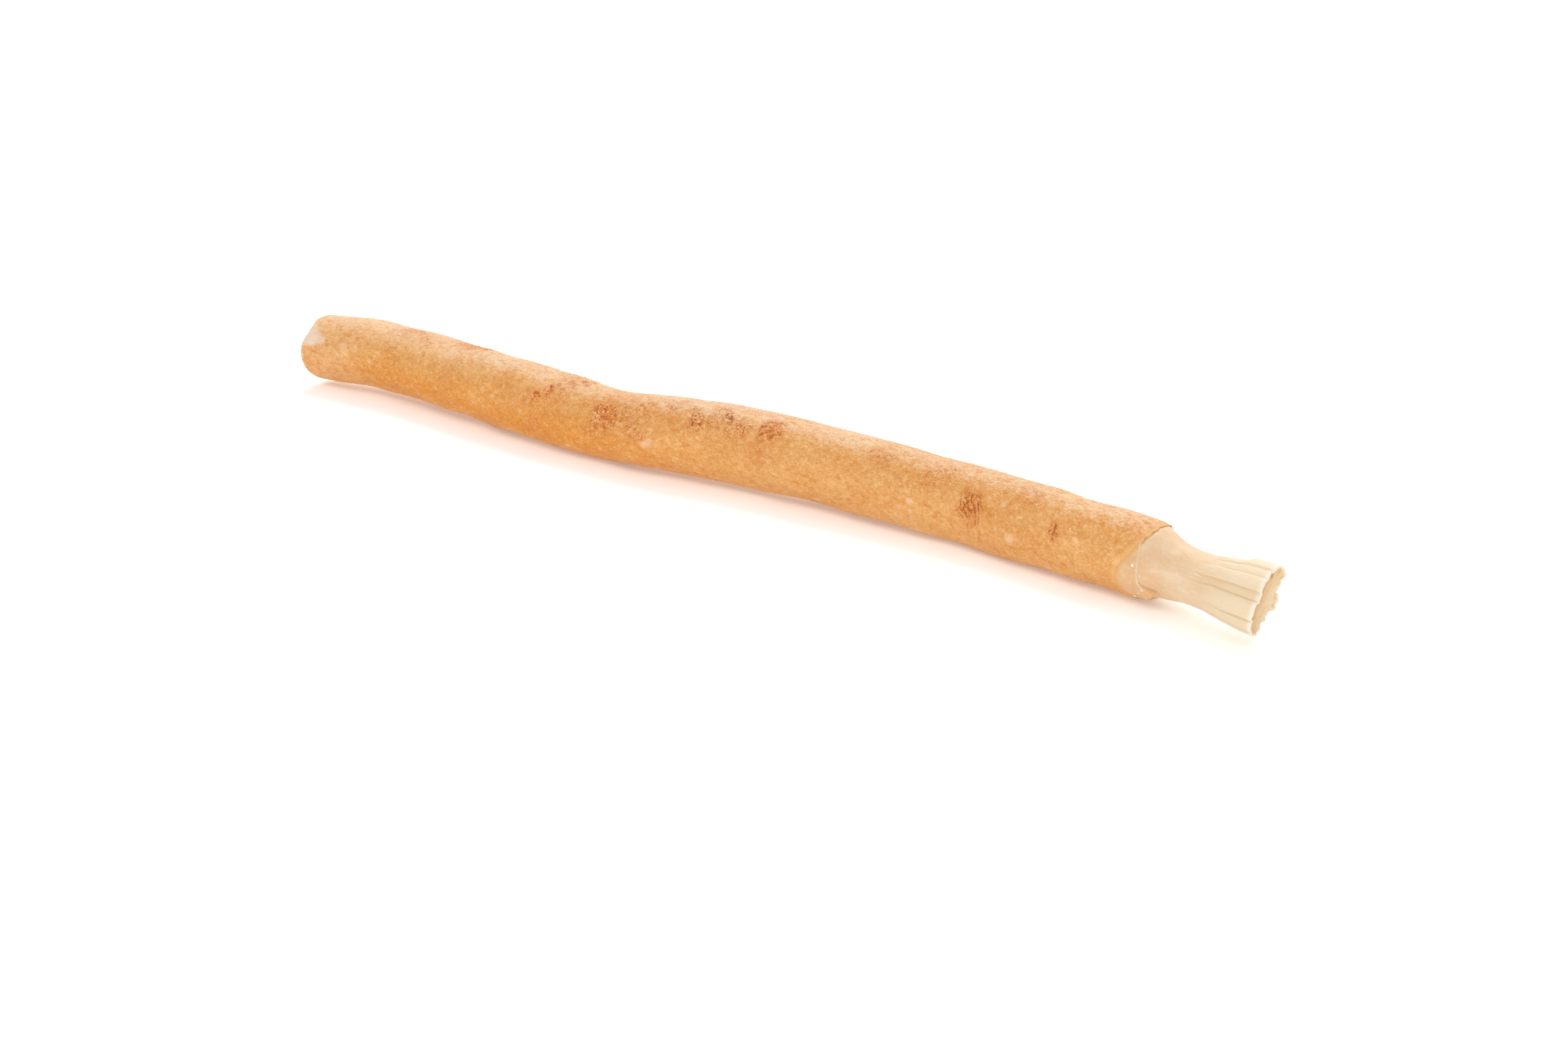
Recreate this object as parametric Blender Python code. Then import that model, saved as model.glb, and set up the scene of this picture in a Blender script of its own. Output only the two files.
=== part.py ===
"""A chewing stick of natural root wood, lying on a surface.

A slightly crooked stick in its own bark, 150 mm long. One end is cut and worn
round. At the other end the bark is peeled off and the pale wood is chewed and
split into a short, stiff brush of fibre bundles. It grew as one piece, so it
is one solid.

Frame: +X runs along the stick towards the brush, +Z is up, and the origin is
on the surface under the middle of the stick. Lengths below are in millimetres
and angles in degrees, and MM turns them into metres.
"""

import math
import random

import bmesh
import bpy
import numpy as np
from mathutils import Matrix

MM = 0.001
NODE = "miswak_stick"

# Centre line where the stick lies: x, y, height and bark radius.
AXIS = (
    (-75.5, -2.2, 4.8, 4.38),
    (-65.0, -0.6, 5.1, 4.55),
    (-51.0, -0.5, 5.00, 4.65),
    (-36.5, -1.5, 4.80, 4.70),
    (-23.5, -1.9, 4.45, 4.60),
    (-10.0, -0.8, 4.90, 4.67),
    (4.0, 1.1, 5.10, 4.70),
    (18.5, 2.1, 4.80, 4.62),
    (32.5, 2.4, 4.45, 4.50),
    (46.5, 1.6, 4.40, 4.44),
    (59.0, 0.0, 4.45, 4.44),
    (73.5, -3.0, 4.75, 4.44),
)
SIDES_RESOLUTION = 11
BARK_STEP = 1.45

# The cut far end, measured from the first axis point: a worn rim, and a chip broken off its upper front edge.
FAR_END = -0.5
RIM_ROUNDING = 1.9
RIM_LEVELS = (0.0, 0.15, 0.55, 1.15)
CHIP_NORMAL = (-0.62, -0.55, 0.56)
CHIP_DEPTH = 0.35

# The bark ends in a ring, with a band of smooth inner bark after it. Both are
# measured along the stick from the far end; the band is widest at BAND_SIDE.
PEEL_START = 131.0
BARK_END = 134.8
BARK_END_SWAY = 1.3
BAND_WIDTH = 1.7
BAND_SWAY = 1.3
BAND_SIDE = 100.0
BAND_SINK = 0.3
UNDER_TAPER = 0.4
UNDER_TAPER_LENGTH = 8.0
LIP_SIDE = 135.0
LIP_REACH = 0.5
LIP_SPREAD = 24.0
NECK_END = 141.2
PEEL_LEVELS = (1.4, 1.75, 1.99, 2.08, 2.5, 2.97, 3.05, 3.16, 3.3, 3.5, 3.75)

# Peeled wood after the band: distance from the band's end, and radius.
PEELED = ((0.0, 4.0), (1.0, 3.66), (2.6, 3.16), (4.6, 2.9), (7.2, 2.95), (10.0, 3.3), (12.6, 3.5))
SHOULDER_SHIFT = 2.4
SHOULDER_FADE = 3.0
FLUTES = 13
FLUTE_DEPTH = 0.09

# The brush: rings of fibre bundles as count, distance from the centre at the
# neck and at the tip, radius at the tip, and how far their ends stand back.
BUNDLE_RINGS = (
    (22, 2.36, 3.18, 0.60, 0.0),
    (14, 1.80, 2.26, 0.62, 0.7),
    (8, 0.95, 1.30, 0.62, 0.85),
    (1, 0.0, 0.0, 0.70, 0.8),
)
OUTER_START = 140.0
INNER_START = 145.5
CORE_END = 149.3
BRUSH_END = 151.4
CUT_SLANT = 1.8
CUT_LONG_SIDE = 57.0
END_JITTER = 0.5
BUNDLE_SHARES = (0.0, 0.35, 0.7, 1.0)
BUNDLE_TAPER = (0.6, 0.8, 1.0, 0.9)
BUNDLE_SEED = 3

# Swollen scars: position along, angle from the top towards the front,
# half-length along, half-width around, height, and the length of their cross
# ridges (0 for none).
SCARS = (
    (18.5, 25.0, 2.6, 2.4, 0.10, 0.0),
    (29.0, -4.0, 4.2, 1.6, 0.20, 2.9),
    (45.4, 62.0, 2.4, 4.4, 0.22, 3.2),
    (50.4, 18.0, 2.8, 3.2, 0.26, 2.9),
    (58.2, 57.0, 2.6, 2.6, 0.34, 2.9),
    (73.6, 38.0, 4.2, 2.4, 0.22, 2.9),
    (81.6, 39.0, 2.2, 2.4, 0.30, 2.9),
    (98.0, 28.0, 2.2, 1.8, 0.12, 0.0),
    (101.2, 70.0, 2.0, 2.8, 0.12, 0.0),
    (111.8, 74.0, 2.4, 3.2, 0.28, 2.9),
    (118.7, 30.0, 2.0, 1.8, 0.14, 0.0),
    (124.4, 68.0, 2.0, 2.6, 0.22, 2.9),
    (36.0, 200.0, 3.4, 3.6, 0.20, 2.9),
    (65.0, 262.0, 3.0, 3.2, 0.24, 2.9),
    (93.0, 232.0, 2.6, 3.0, 0.22, 2.9),
    (117.0, 285.0, 3.2, 2.6, 0.20, 2.9),
)
# Broad unevenness of the shaft: height, length of a wave along the stick,
# waves around it, and phase.
SWELLS = (
    (0.10, 31.0, 1, 0.4),
    (0.09, 19.0, 2, 2.1),
    (0.06, 11.0, 3, 4.0),
)
OVALITY = 0.018

BARK_COLOUR = (0.72, 0.42, 0.17, 1.0)
BARK_ROUGHNESS = 0.85


def clear_scene():
    """Remove every object, so that the script always starts from nothing."""
    for item in list(bpy.data.objects):
        bpy.data.objects.remove(item, do_unlink=True)


def new_collection(name):
    """Make a collection and link it to the scene."""
    group = bpy.data.collections.new(name)
    bpy.context.scene.collection.children.link(group)
    return group


class CentreLine:
    """A smooth line through the axis points, measured by its length."""

    def __init__(self, points, per_span=24):
        knots = np.array(points)
        first = 2 * knots[0] - knots[1]
        last = 2 * knots[-1] - knots[-2]
        knots = np.vstack([first, knots, last])
        samples = []
        for a, b, c, d in zip(knots, knots[1:], knots[2:], knots[3:]):
            for t in np.arange(per_span) / per_span:
                samples.append(
                    0.5 * (2 * b + (c - a) * t + (2 * a - 5 * b + 4 * c - d) * t**2 + (3 * b - a - 3 * c + d) * t**3)
                )
        samples.append(knots[-2])
        self.samples = np.array(samples)
        steps = np.linalg.norm(np.diff(self.samples[:, :3], axis=0), axis=1)
        self.lengths = np.concatenate([[0.0], np.cumsum(steps)])
        self.total = self.lengths[-1]

    def at(self, s):
        """Centre and bark radius at distance s from the far end."""
        values = [np.interp(s, self.lengths, column) for column in self.samples.T]
        return np.array(values[:3]), values[3]

    def frame(self, s):
        """Centre, direction, and the unit vectors to the front and up; straight on past the ends."""
        inside = min(max(s, 0.0), self.total)
        ahead, _ = self.at(min(inside + 0.5, self.total))
        behind, _ = self.at(max(inside - 0.5, 0.0))
        along = (ahead - behind) / np.linalg.norm(ahead - behind)
        centre = self.at(inside)[0] + (s - inside) * along
        front = np.cross(along, (0.0, 0.0, 1.0))
        front /= np.linalg.norm(front)
        return centre, along, front, np.cross(front, along)


LINE = CentreLine(AXIS)


def bark_end(theta):
    """Where the bark stops, along the stick, at an angle in degrees."""
    return BARK_END - BARK_END_SWAY * math.cos(math.radians(theta - BAND_SIDE))


def band_end(theta):
    """Where the inner bark stops and the peeled wood starts."""
    sway = BAND_SWAY * math.cos(math.radians(theta - BAND_SIDE))
    off_lip = (theta - LIP_SIDE + 180.0) % 360.0 - 180.0
    lip = LIP_REACH * math.exp(-((off_lip / LIP_SPREAD) ** 2))
    return bark_end(theta) + BAND_WIDTH + sway + lip


def station(level, theta):
    """Distance along the stick at a level: 1 where the peeling starts, 2 the bark's end, 3 the band's end."""
    slant = CUT_SLANT * math.cos(math.radians(theta - CUT_LONG_SIDE))
    ends = (FAR_END, PEEL_START, bark_end(theta), band_end(theta), NECK_END, CORE_END + slant)
    return float(np.interp(level, range(len(ends)), ends))


def rim_inset(s):
    """How far the worn rim of the far end stands in from the bark's radius."""
    left = max(RIM_ROUNDING - (s - FAR_END), 0.0)
    return RIM_ROUNDING - math.sqrt(RIM_ROUNDING**2 - left**2)


def peeled_radius(s, theta):
    """Radius of the peeled wood, with a longer shoulder on top than below."""
    past = max(s - band_end(theta), 0.0)
    below = 0.5 - 0.5 * math.cos(math.radians(theta))
    past += SHOULDER_SHIFT * below * math.exp(-past / SHOULDER_FADE)
    distances, radii = zip(*PEELED)
    return float(np.interp(past, distances, radii))


def scar_height(s, theta, radius):
    """Height of the scars over the plain bark."""
    total = 0.0
    for at, angle, half_length, half_width, height, ridge in SCARS:
        along = (s - at) / half_length
        turn = math.radians((theta - angle + 180.0) % 360.0 - 180.0)
        near = math.exp(-(along**2) - (turn * radius / half_width) ** 2)
        wave = 1.0
        if ridge:
            wave = 0.55 + 0.45 * math.cos(2 * math.pi * (s - at + 0.35 * turn * radius) / ridge)
        total += height * near * wave
    return total


def swell(s, theta):
    """Broad unevenness of the shaft."""
    total = 0.0
    for height, length, around, phase in SWELLS:
        total += height * math.sin(2 * math.pi * s / length + around * math.radians(theta) + phase)
    return total


def under_taper(s, theta):
    """How far the bark thins towards its end, on the underside only."""
    part_way = min(max(1.0 - (bark_end(theta) - s) / UNDER_TAPER_LENGTH, 0.0), 1.0)
    below = 0.5 - 0.5 * math.cos(math.radians(theta))
    return UNDER_TAPER * below * part_way


def surface_radius(s, theta):
    """Distance from the centre line to the surface."""
    _, bark = LINE.at(s)
    if s > band_end(theta):
        flute = FLUTE_DEPTH * math.cos(math.radians(FLUTES * theta))
        return peeled_radius(s, theta) + flute
    radius = bark * (1 + OVALITY * math.cos(math.radians(2 * (theta - 70.0))))
    radius += swell(s, theta) - under_taper(s, theta)
    if s > bark_end(theta):
        return radius - BAND_SINK
    return radius + scar_height(s, theta, bark)


def ring_levels():
    """Levels of the shaft's rings, from the far end's cut to the heart of the brush."""
    levels = [s / PEEL_START for s in RIM_LEVELS]
    bark_rings = round((PEEL_START - RIM_ROUNDING) / BARK_STEP)
    levels += [float(s) / PEEL_START for s in np.linspace(RIM_ROUNDING, PEEL_START, bark_rings + 1)]
    levels += PEEL_LEVELS
    levels += [4.0, 4.3, 4.6, 4.8, 5.0]
    return levels


def tube_mesh(name, points, radii, resolution):
    """A closed mesh tube made from a bevelled curve through the points."""
    curve = bpy.data.curves.new(name, "CURVE")
    curve.dimensions = "3D"
    curve.twist_mode = "Z_UP"
    curve.bevel_depth = MM
    curve.bevel_resolution = resolution
    curve.use_fill_caps = True
    spline = curve.splines.new("POLY")
    spline.points.add(len(points) - 1)
    for knot, point, radius in zip(spline.points, points, radii):
        knot.co = (*(MM * np.array(point)), 1.0)
        knot.radius = radius
    holder = bpy.data.objects.new(name, curve)
    bpy.context.scene.collection.objects.link(holder)
    bpy.context.view_layer.update()
    evaluated = holder.evaluated_get(bpy.context.evaluated_depsgraph_get())
    mesh = bpy.data.meshes.new_from_object(evaluated)
    place = holder.matrix_world.copy()
    bpy.data.objects.remove(holder)
    work = bmesh.new()
    work.from_mesh(mesh)
    bmesh.ops.remove_doubles(work, verts=work.verts, dist=1e-6)
    bmesh.ops.recalc_face_normals(work, faces=work.faces)
    work.to_mesh(mesh)
    work.free()
    mesh.name = name
    item = bpy.data.objects.new(name, mesh)
    item.matrix_world = place
    return item


def make_shaft():
    """The bark-covered shaft and the peeled neck, as one tube shaped by angle and length."""
    levels = ring_levels()
    plain = [station(level, BAND_SIDE + 90.0) for level in levels]
    centres = np.array([LINE.at(s)[0] for s in plain])
    radii = [LINE.at(s)[1] - rim_inset(s) for s in plain]
    shaft = tube_mesh(NODE, centres, radii, SIDES_RESOLUTION)
    for vertex in shaft.data.vertices:
        spot = np.array(vertex.co) / MM
        ring = int(np.argmin(np.linalg.norm(centres - spot, axis=1)))
        centre, _, front, up = LINE.frame(plain[ring])
        arm = spot - centre
        theta = math.degrees(math.atan2(arm @ front, arm @ up)) % 360.0
        s = station(levels[ring], theta)
        centre, _, front, up = LINE.frame(s)
        radius = surface_radius(s, theta) - rim_inset(s)
        turn = math.radians(theta)
        vertex.co = MM * (centre + radius * (math.sin(turn) * front + math.cos(turn) * up))
    return shaft


def chip_far_end(shaft):
    """Press the far end's upper front edge down to a broken, flat face."""
    normal = np.array(CHIP_NORMAL) / np.linalg.norm(CHIP_NORMAL)
    near_end = [v for v in shaft.data.vertices if v.co.x < (AXIS[0][0] + 12.0) * MM]
    reach = [float(np.array(v.co) @ normal) for v in near_end]
    limit = max(reach) - CHIP_DEPTH * MM
    for vertex, value in zip(near_end, reach):
        if value > limit:
            vertex.co = np.array(vertex.co) - (value - limit) * normal


def flatten_underside(shaft):
    """Let the stick rest on the narrow flats that it has where it touches the surface."""
    for vertex in shaft.data.vertices:
        vertex.co.z = max(vertex.co.z, 0.0)


def bundle_path(chance, angle, neck, tip, stand_back, start):
    """Points of one fibre bundle, from inside the neck to its cut end."""
    rim_share = tip / BUNDLE_RINGS[0][2]
    slant = CUT_SLANT * rim_share * math.cos(math.radians(angle - CUT_LONG_SIDE))
    end = BRUSH_END + slant - stand_back - END_JITTER * chance.random()
    sideways = chance.uniform(-3.0, 3.0)
    points = []
    for share in BUNDLE_SHARES:
        s = start + share * (end - start)
        centre, _, front, up = LINE.frame(s)
        spread = neck + (tip - neck) * share
        turn = math.radians(angle + sideways * share)
        points.append(centre + spread * (math.sin(turn) * front + math.cos(turn) * up))
    return points


def make_bundles(group):
    """Every fibre bundle of the brush, as closed tubes that overlap their neighbours."""
    chance = random.Random(BUNDLE_SEED)
    for ring, (count, neck, tip, radius, stand_back) in enumerate(BUNDLE_RINGS):
        start = INNER_START if ring else OUTER_START
        for i in range(count):
            angle = 360.0 * (i + 0.5 * (ring % 2)) / count + chance.uniform(-3.0, 3.0)
            points = bundle_path(chance, angle, neck, tip, stand_back, start)
            size = radius * chance.uniform(0.92, 1.12)
            radii = [size * taper for taper in BUNDLE_TAPER]
            bundle = tube_mesh(f"bundle_{ring}_{i:02d}", points, radii, 1)
            bundle.hide_render = True
            bundle.display_type = "WIRE"
            group.objects.link(bundle)


def join_bundles(shaft, group):
    """Fuse the bundles with the shaft, and keep the outer surface as one closed body."""
    union = shaft.modifiers.new("brush", "BOOLEAN")
    union.operation = "UNION"
    union.operand_type = "COLLECTION"
    union.collection = group
    union.solver = "EXACT"
    bpy.context.view_layer.update()
    evaluated = shaft.evaluated_get(bpy.context.evaluated_depsgraph_get())
    fused = bpy.data.meshes.new_from_object(evaluated)
    shaft.modifiers.remove(union)
    work = bmesh.new()
    work.from_mesh(fused)
    shells = connected_shells(work)
    shells.sort(key=len)
    pockets = [face for shell in shells[:-1] for face in shell]
    bmesh.ops.delete(work, geom=pockets, context="FACES")
    work.to_mesh(fused)
    work.free()
    fused.name = NODE
    shaft.data = fused
    for bundle in list(group.objects):
        bpy.data.objects.remove(bundle)
    bpy.data.collections.remove(group)


def connected_shells(work):
    """Groups of faces joined by shared edges."""
    left = set(work.faces)
    shells = []
    while left:
        shell = [left.pop()]
        for face in shell:
            for edge in face.edges:
                for other in edge.link_faces:
                    if other in left:
                        left.remove(other)
                        shell.append(other)
        shells.append(shell)
    return shells


def centre_over_origin(shaft):
    """Put the middle of the stick's box over the origin."""
    points = np.array([vertex.co for vertex in shaft.data.vertices])
    middle = 0.5 * (points.min(axis=0) + points.max(axis=0))
    shaft.data.transform(Matrix.Translation((-middle[0], -middle[1], 0.0)))


def bark_material():
    """Dry, matt bark."""
    material = bpy.data.materials.new("bark")
    material.use_nodes = True
    shader = material.node_tree.nodes["Principled BSDF"]
    shader.inputs["Base Color"].default_value = BARK_COLOUR
    shader.inputs["Roughness"].default_value = BARK_ROUGHNESS
    shader.inputs["Metallic"].default_value = 0.0
    return material


def build():
    """Make the stick."""
    clear_scene()
    parts = new_collection("miswak")
    bundles = new_collection("fibre_bundles")
    shaft = make_shaft()
    chip_far_end(shaft)
    flatten_underside(shaft)
    parts.objects.link(shaft)
    make_bundles(bundles)
    join_bundles(shaft, bundles)
    centre_over_origin(shaft)
    shaft.data.shade_smooth()
    shaft.data.set_sharp_from_angle(angle=math.radians(40.0))
    shaft.data.materials.append(bark_material())


build()
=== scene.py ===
"""The looks of a chewing stick: fibrous papery bark, inner bark, and a peeled and frayed brush of pale wood.

Lengths are in millimetres and angles in degrees, and MM turns them into the frame's metres. A place on the
stick is its distance s along the centre line, and its angle theta from the top towards the front.
"""

import math

import bpy
import numpy as np
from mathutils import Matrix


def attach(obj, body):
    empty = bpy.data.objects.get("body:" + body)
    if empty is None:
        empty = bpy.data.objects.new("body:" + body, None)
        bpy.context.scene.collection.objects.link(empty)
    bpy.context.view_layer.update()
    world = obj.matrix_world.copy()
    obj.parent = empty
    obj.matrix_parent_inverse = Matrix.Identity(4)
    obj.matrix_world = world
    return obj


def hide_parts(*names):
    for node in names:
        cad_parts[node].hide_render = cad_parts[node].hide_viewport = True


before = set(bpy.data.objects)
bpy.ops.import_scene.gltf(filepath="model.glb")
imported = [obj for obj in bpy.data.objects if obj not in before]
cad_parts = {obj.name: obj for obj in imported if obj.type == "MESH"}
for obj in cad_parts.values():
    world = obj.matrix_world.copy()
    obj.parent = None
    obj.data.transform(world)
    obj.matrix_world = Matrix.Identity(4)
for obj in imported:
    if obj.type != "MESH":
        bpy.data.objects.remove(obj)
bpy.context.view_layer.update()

MM = 0.001
NODE = "miswak_stick"
# Nothing lies lower than this over the floor.
FLOOR_GAP = 0.02

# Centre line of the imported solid: x, y, height and bark radius.
AXIS = (
    (-75.5, -2.2, 4.8, 4.38),
    (-65.0, -0.6, 5.1, 4.55),
    (-51.0, -0.5, 5.00, 4.65),
    (-36.5, -1.5, 4.80, 4.70),
    (-23.5, -1.9, 4.45, 4.60),
    (-10.0, -0.8, 4.90, 4.67),
    (4.0, 1.1, 5.10, 4.70),
    (18.5, 2.1, 4.80, 4.62),
    (32.5, 2.4, 4.45, 4.50),
    (46.5, 1.6, 4.40, 4.44),
    (59.0, 0.0, 4.45, 4.44),
    (73.5, -3.0, 4.75, 4.44),
)
OVALITY = 0.018
# Gentle swellings of the bark: height, length along the stick, number around it, and phase.
SWELLS = (
    (0.10, 31.0, 1, 0.4),
    (0.09, 19.0, 2, 2.1),
    (0.06, 11.0, 3, 4.0),
)

# What the outline adds to the radius: place along, then the amount on the upper side and on the lower side.
OUTLINE = (
    (2.0, 0.06, -0.15),
    (6.0, 0.06, 0.10),
    (11.0, 0.20, 0.0),
    (17.0, 0.04, -0.30),
    (21.0, 0.08, -0.35),
    (26.0, 0.22, -0.25),
    (30.0, 0.02, -0.10),
    (41.0, 0.0, -0.14),
    (44.0, 0.10, -0.10),
    (48.0, 0.28, -0.20),
    (52.0, 0.10, -0.26),
    (57.0, -0.10, -0.40),
    (60.0, -0.18, -0.30),
    (63.0, 0.0, -0.05),
    (68.0, 0.30, -0.05),
    (71.0, 0.24, -0.06),
    (75.0, 0.10, -0.10),
    (80.0, 0.24, -0.25),
    (84.0, 0.30, -0.20),
    (91.0, 0.18, -0.18),
    (96.0, -0.06, -0.05),
    (105.0, 0.15, 0.0),
    (113.0, 0.22, -0.14),
    (121.0, 0.24, -0.06),
    (129.0, 0.02, 0.05),
    (134.0, 0.04, 0.06),
)
UPPER_SIDE = -22.0
LOWER_SIDE = 150.0
OUTLINE_SPREAD = 58.0

# The cut far end and the chip off its rim, with the bare patch beside it.
FAR_END = -0.5
RIM_ROUNDING = 1.9
SQUARER_RIM = 0.9
SQUARER_SIDE = 125.0
SQUARER_SPREAD = 55.0
CHIP_NORMAL = (-0.62, -0.55, 0.56)
CHIP_DEPTH = 0.35
PATCH_MIDDLE = 1.8
PATCH_HALF_LENGTH = 2.5
PATCH_SIDE = 46.5
PATCH_LEAN = 3.6
PATCH_HALF_WIDTH = 27.0
PATCH_NARROWING = 4.0

# The bark's ring and the inner bark after it: angle, where the bark ends, and where the inner bark ends.
EDGES = (
    (-150.0, 135.1, 135.4),
    (-90.0, 134.2, 134.5),
    (-50.0, 134.2, 134.4),
    (-15.0, 135.7, 135.5),
    (15.0, 136.15, 135.9),
    (40.0, 135.9, 135.8),
    (52.0, 135.5, 136.1),
    (61.5, 135.0, 136.35),
    (73.0, 134.3, 136.45),
    (93.5, 133.3, 136.4),
    (110.0, 132.95, 136.4),
    (114.0, 132.95, 136.7),
    (118.0, 133.0, 138.6),
    (131.0, 133.2, 137.5),
    (152.0, 133.8, 135.6),
    (175.0, 134.8, 135.4),
)
BARK_END = 136.2
BACK_DIP = 1.5
BACK_SIDE = -50.0
BACK_SPREAD = 42.0
EDGE_TAPER = 0.9
EDGE_GOLD = 1.2
BAND_LEVEL = 0.14
BAND_SLOPE = 0.14
LIP_SIDE = 130.0
LIP_SPREAD = 22.0
UNDER_TAPER = 0.4
UNDER_TAPER_LENGTH = 8.0

# Peeled wood: distance past the shoulder's start, and radius.
SHOULDER_START = 136.6
PEELED = (
    (0.0, 4.15), (1.0, 3.74), (2.6, 3.18), (4.6, 2.86), (7.2, 2.90), (10.0, 3.24), (12.6, 3.50), (15.5, 3.66),
)
SHOULDER_SHIFT = 2.4
SHOULDER_FADE = 3.0

# The brush's cut: its middle, slant, furthest side and radius, and the rim and the hollow of its face.
BRUSH_END = 151.2
CUT_SLANT = 1.9
CUT_LONG_SIDE = 60.0
CUT_RADIUS = 3.6
RIM_WALL = 0.22
HOLLOW = 0.16

# Bundles of the brush: where one starts, how proud it stands, its reach, and the depth of the split there.
BUNDLES = (
    (8.0, -0.03, 0.0, 0.03),
    (28.0, 0.05, 0.0, 0.02),
    (51.0, -0.24, 0.0, 0.03),
    (70.5, 0.05, 0.0, 0.12),
    (105.0, 0.02, 0.0, 0.16),
    (131.0, 0.04, 0.05, 0.04),
    (155.0, 0.0, -0.1, 0.06),
    (178.0, 0.04, -0.3, 0.12),
    (204.0, -0.03, -0.35, 0.15),
    (231.0, 0.06, 0.1, 0.25),
    (269.0, 0.0, -0.1, 0.20),
    (304.0, 0.08, 0.5, 0.25),
    (338.0, 0.09, 0.3, 0.06),
)
# Raised slivers of the neck: where one starts along and around, its length and its width.
SLIVERS = (
    (143.0, 57.5, 1.5, 0.20),
    (146.4, 25.0, 1.8, 0.16),
    (147.2, 102.0, 2.4, 0.15),
)
# Crumbs of torn wood by the inner bark's edge: place along and around, and size.
CRUMBS = (
    (135.6, 77.0, 0.26),
    (136.7, 116.5, 0.22),
    (135.9, 128.0, 0.14),
    (134.6, 144.0, 0.30),
)
# The raised tuft on top of the brush.
TUFT_SIDE = -12.0
TUFT_SPREAD = 22.0
TUFT_START = 147.4
TUFT_HEIGHT = 0.36

# Distance between the cracks of a scar.
CRACK_SPACING = 0.64
# Scars: place along and around, half-length, half-width, height, stain, pits, cracks, and the cracks' slant.
SCARS = (
    (19.0, 12.0, 3.4, 1.5, 0.06, 0.34, 0.4, 0.5, -1.2),
    (28.6, 2.0, 3.0, 1.6, 0.14, 0.40, 0.5, 0.4, -1.0),
    (31.4, -10.0, 0.9, 0.8, 0.08, 0.80, 0.8, 0.4, 0.0),
    (46.6, 68.0, 1.1, 3.0, 0.12, 0.40, 0.5, 0.3, 0.25),
    (46.6, 51.0, 1.0, 0.9, 0.12, 0.80, 0.9, 0.5, -0.8),
    (49.6, 20.0, 3.0, 3.0, 0.16, 0.34, 0.4, 0.3, -1.5),
    (47.9, 38.0, 0.9, 0.8, 0.04, 0.70, 0.9, 0.4, -1.0),
    (49.0, 27.0, 1.0, 0.7, 0.04, 0.66, 0.8, 0.4, -1.2),
    (50.2, 16.0, 1.1, 0.6, 0.04, 0.62, 0.7, 0.4, -1.2),
    (51.4, 6.0, 1.1, 0.6, 0.04, 0.56, 0.7, 0.4, -1.2),
    (52.5, -3.0, 1.0, 0.6, 0.04, 0.50, 0.6, 0.4, -1.2),
    (49.9, 34.0, 0.8, 0.5, 0.03, 0.56, 0.7, 0.4, -1.0),
    (51.1, 23.0, 0.9, 0.5, 0.03, 0.52, 0.6, 0.4, -1.2),
    (52.3, 12.0, 0.9, 0.5, 0.03, 0.50, 0.6, 0.4, -1.2),
    (49.0, -20.0, 4.0, 2.4, 0.26, 0.15, 0.4, 0.3, -0.8),
    (56.9, 48.5, 0.9, 0.8, 0.06, 0.85, 1.0, 0.4, 0.4),
    (58.9, 51.5, 1.1, 1.0, -0.18, 0.90, 1.0, 0.4, 0.4),
    (58.4, 57.0, 2.8, 2.9, 0.20, 0.34, 0.7, 0.3, 0.5),
    (58.4, 68.5, 0.5, 0.5, -0.08, 0.95, 0.8, 0.0, 0.0),
    (63.0, 50.0, 3.4, 2.8, 0.12, 0.36, 0.6, 0.25, -0.9),
    (64.0, 80.0, 2.2, 0.8, 0.05, 0.36, 0.5, 0.2, 1.5),
    (56.5, 88.0, 2.0, 1.0, 0.08, 0.20, 0.5, 0.25, 0.8),
    (67.0, 20.0, 3.0, 1.4, 0.05, 0.22, 0.5, 0.2, -0.7),
    (71.0, 42.0, 2.0, 1.6, 0.14, 0.44, 0.8, 0.5, -0.6),
    (74.6, 34.0, 2.7, 1.8, 0.17, 0.42, 0.9, 0.5, -0.6),
    (77.8, 44.0, 1.4, 1.2, 0.10, 0.38, 0.7, 0.3, -0.5),
    (81.4, 38.5, 1.6, 1.9, 0.24, 0.74, 1.0, 0.6, 0.15),
    (97.6, 32.0, 2.2, 1.9, 0.08, 0.34, 0.5, 0.4, 0.6),
    (101.2, 68.0, 1.6, 2.0, 0.06, 0.30, 0.5, 0.35, 0.2),
    (105.8, 34.0, 3.4, 2.6, 0.08, 0.28, 0.5, 0.3, -0.9),
    (111.7, 72.0, 1.8, 1.7, 0.10, 0.70, 0.7, 1.0, 0.27),
    (118.7, 30.0, 2.6, 1.9, 0.08, 0.30, 0.5, 0.4, -0.8),
    (124.3, 66.5, 1.0, 1.1, 0.08, 0.58, 0.6, 1.0, 0.2),
    (36.0, 200.0, 2.4, 3.4, 0.16, 0.55, 0.7, 1.0, 0.2),
    (65.0, 262.0, 2.4, 3.0, 0.20, 0.70, 0.9, 1.0, -0.3),
    (93.0, 232.0, 2.0, 2.8, 0.18, 0.50, 0.7, 0.9, 0.3),
    (117.0, 285.0, 2.6, 2.4, 0.16, 0.60, 0.8, 1.0, 0.1),
)
# Pale flecks of lost skin: place along and around, and size.
FLECKS = (
    (6.2, 57.0, 0.25),
    (7.8, 65.5, 0.45),
    (10.4, 65.0, 0.28),
    (7.0, 84.0, 0.45),
    (12.9, 83.5, 0.45),
    (28.3, 37.0, 0.9),
    (64.8, 86.0, 0.7),
    (103.3, 84.0, 0.4),
    (116.1, 51.0, 0.3),
    (118.0, 97.0, 0.55),
)
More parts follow.
